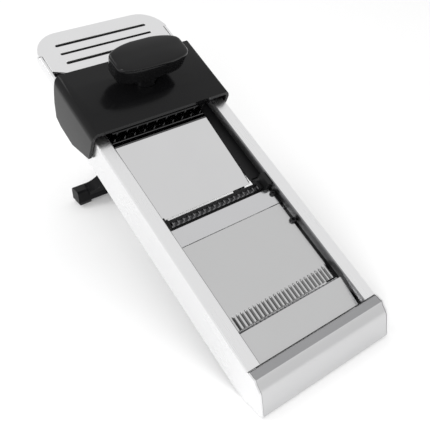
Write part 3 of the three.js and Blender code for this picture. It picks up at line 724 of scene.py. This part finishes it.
def slot_lips():
    """The raised lips beside the three slots of the handle plate: one bead, repeated."""
    bm = bmesh.new()
    section = half_circle(LIP_RADIUS, 6)
    rings = []
    for i in range(LIP_STEPS + 1):
        x = LIP_X + LIP_HALF + i * (LIP_LENGTH - 2 * LIP_HALF) / LIP_STEPS
        rings.append([Vector((x, y, z - 0.2)) for y, z in section])
    tube_of_rings(bm, rings)
    bead = pattern_object("slot_bead", bm)
    tree = repeat_tree("slot_lips", NOSE_STEEL)
    first = (0.0, FIRST_SLOT_Y + LIP_HALF + 0.5, 0.0)
    made = tree.grow(Pattern=bead, Count=3, First=first, Step=(0.0, SLOT_PITCH, 0.0))
    bpy.data.objects.remove(bead)
    return made


def head_plate():
    bm = soften(node_mesh("head_plate"), 0.3, 2)
    merge_into(bm, slot_lips())
    piece("head_plate_visual", bm, "body", NOSE_STEEL, ["head_plate"], 35)


def carriage():
    """The carriage's shell, with a lighter black painted on its roof's near edge as a sheen."""
    bm = soften(node_mesh("carriage_shell"), 0.9, 3, 40)
    piece("carriage_shell_visual", bm, "carriage", CARRIAGE_BLACK,
          ["carriage_shell"], 40, second=RIM_PAINTED_SHEEN_BLACK, on_second=on_painted_rim_sheen)


def on_painted_rim_sheen(face):
    # Faces of the roof's near rim, which take the painted sheen.
    centre = face.calc_center_median()
    return face.normal.y < -0.4 and centre.y < RIM_Y and centre.z > RIM_Z


def nose_cap():
    """The nose, with a darker tint painted on its crest than on its face, as a painted reflection."""
    bm = soften(node_mesh("nose_cap"), 0.35, 2)
    piece("nose_cap_visual", bm, "body", CAP_STEEL, ["nose_cap"],
          second=CREST_PAINTED_REFLECTION_STEEL, on_second=on_painted_crest_reflection)


def on_painted_crest_reflection(face):
    # Faces of the crest, which take the painted reflection.
    return face.normal.z > 0.4 and face.calc_center_median().y > CREST_Y


def side_rail(node):
    """A rail, with a darker tint on its inner lip that stands in for the bed's shade."""
    bm = soften(node_mesh(node), 0.25, 2)
    piece(node + "_visual", bm, "body", RAIL_STEEL, [node],
          second=LIP_STEEL, on_second=on_inner_lip)


def on_inner_lip(face):
    return abs(face.normal.x) > 0.7 and LIPS_FROM_X < face.calc_center_median().x < LIPS_TO_X


# CAD node, body, slot, material, and how far its edges are rounded.
SIMPLE_PIECES = [
    # The handle liner is a black sheet under the handle plate; it also stands in for the shade seen through
    # the plate's slots, a painted shade.
    ("handle_liner", "body", "frame_plastic", FRAME_BLACK, 0.4),
    ("left_side_frame", "body", "frame_plastic", FRAME_BLACK, 0.6),
    ("right_side_frame", "body", "frame_plastic", FRAME_BLACK, 0.5),
    ("straight_blade", "body", "blade_steel", BLADE_STEEL, 0.08),
    ("blade_bar", "body", "frame_plastic", FRAME_BLACK, 0.4),
    ("lower_plate", "body", "plate_steel", PLATE_STEEL, 0.3),
    ("crinkle_bar", "body", "frame_plastic", FRAME_BLACK, 0.4),
    ("front_tie_bar", "body", "plated_steel", ZINC, 0.5),
    ("leg_stop_bar", "body", "plated_steel", ZINC, 0.5),
    ("left_comb_guide", "body", "frame_plastic", FRAME_BLACK, 0.4),
    ("right_comb_guide", "body", "frame_plastic", FRAME_BLACK, 0.4),
    ("upper_ramp", "ramp", "polished_steel", RAMP_STEEL, 0.25),
    ("comb_carrier", "comb", "frame_plastic", FRAME_BLACK, 0.4),
    ("leg_frame", "leg", "leg_plastic", LEG_BLACK, 0.9),
    ("left_foot_pad", "leg", "pad_rubber", PAD_RUBBER, 0.25),
    ("right_foot_pad", "leg", "pad_rubber", PAD_RUBBER, 0.25),
    ("ramp_lever", "ramp_adjuster", "plated_steel", ZINC, 0.3),
    ("ramp_lever_grip", "ramp_adjuster", "frame_plastic", FRAME_BLACK, 0.6),
    ("centre_plate_lever", "plate_adjuster", "plated_steel", ZINC, 0.3),
    ("centre_plate_lever_grip", "plate_adjuster", "frame_plastic", FRAME_BLACK, 0.6),
    ("comb_lever", "comb_adjuster", "plated_steel", ZINC, 0.3),
    ("comb_lever_grip", "comb_adjuster", "frame_plastic", FRAME_BLACK, 0.6),
    ("pusher_screw", "pusher", "plated_steel", ZINC, 0.3),
]

for simple in SIMPLE_PIECES:
    finished_node(*simple)
nose_cap()
side_rail("left_side_rail")
side_rail("right_side_rail")
carriage()
head_plate()
centre_plate()
crinkle_blade()
julienne_comb()
pin_plate()
knob()
pusher_stem()
cross_rods()
round_head_screw("blade_lock_screw", 118, 119.5, radius=2.45, under=-6.7, top=-4.95, low=-14)
round_head_screw("plate_stop_screw", 118, 89.5, radius=2.95, under=-7.6, top=-4.75, low=-23)


# ---------------------------------------------------------------- floor, light and camera

FLOOR_DROP = 0.0005  # metres
FLOOR_GLOW = 0.06
WORLD_STRENGTH = 0.86
CAMERA_PLACE = Vector((-196.44, -52.07, 414.92))
CAMERA_LENS = 53.1
CAMERA_DOWN_DEG = 36.12
CAMERA_TURN_DEG = -37.07


def floor():
    """A pale floor just under the slicer, that glows a little."""
    bm = bmesh.new()
    bmesh.ops.create_grid(bm, x_segments=2, y_segments=2, size=6.0)
    mesh = bpy.data.meshes.new("studio_floor")
    bm.to_mesh(mesh)
    bm.free()
    glow = {"Emission Color": (1, 1, 1, 1), "Emission Strength": FLOOR_GLOW}
    material, principled = shader("pale_floor", (0.93, 0.93, 0.93), 0.0, 0.9, **glow)
    mesh.materials.append(material)
    made = bpy.data.objects.new("studio_floor", mesh)
    made.location.z = -FLOOR_DROP
    bpy.context.scene.collection.objects.link(made)


def soft_box(name, place, aim, width, height, watts):
    light = bpy.data.lights.new(name, "AREA")
    light.shape = "RECTANGLE"
    light.size = width
    light.size_y = height
    light.energy = watts
    made = bpy.data.objects.new(name, light)
    made.location = place
    made.rotation_euler = (Vector(aim) - Vector(place)).to_track_quat("-Z", "Y").to_euler()
    bpy.context.scene.collection.objects.link(made)


def studio():
    world = bpy.data.worlds.new("white_studio")
    world.use_nodes = True
    back = world.node_tree.nodes["Background"]
    back.inputs["Color"].default_value = (1, 1, 1, 1)
    back.inputs["Strength"].default_value = WORLD_STRENGTH
    bpy.context.scene.world = world
    soft_box("window_left", (-1.0, -1.0, 0.75), (0, 0, 0.1), 0.45, 0.6, 9)
    soft_box("overhead", (-0.7, 0.9, 1.5), (0, 0, 0), 0.9, 0.9, 6)


def camera():
    """A 53 mm lens looking along the slicer from its left front, 36 degrees above level."""
    lens = bpy.data.cameras.new("studio_camera")
    lens.lens = CAMERA_LENS
    lens.sensor_width = 36.0
    lens.clip_start = 0.01
    made = bpy.data.objects.new("studio_camera", lens)
    made.matrix_world = Matrix.Translation(TO_ROW @ CAMERA_PLACE)
    made.rotation_euler = (math.radians(90 - CAMERA_DOWN_DEG), 0, math.radians(CAMERA_TURN_DEG))
    bpy.context.scene.collection.objects.link(made)
    bpy.context.scene.camera = made


floor()
studio()
camera()
bpy.context.scene.view_settings.view_transform = "Standard"
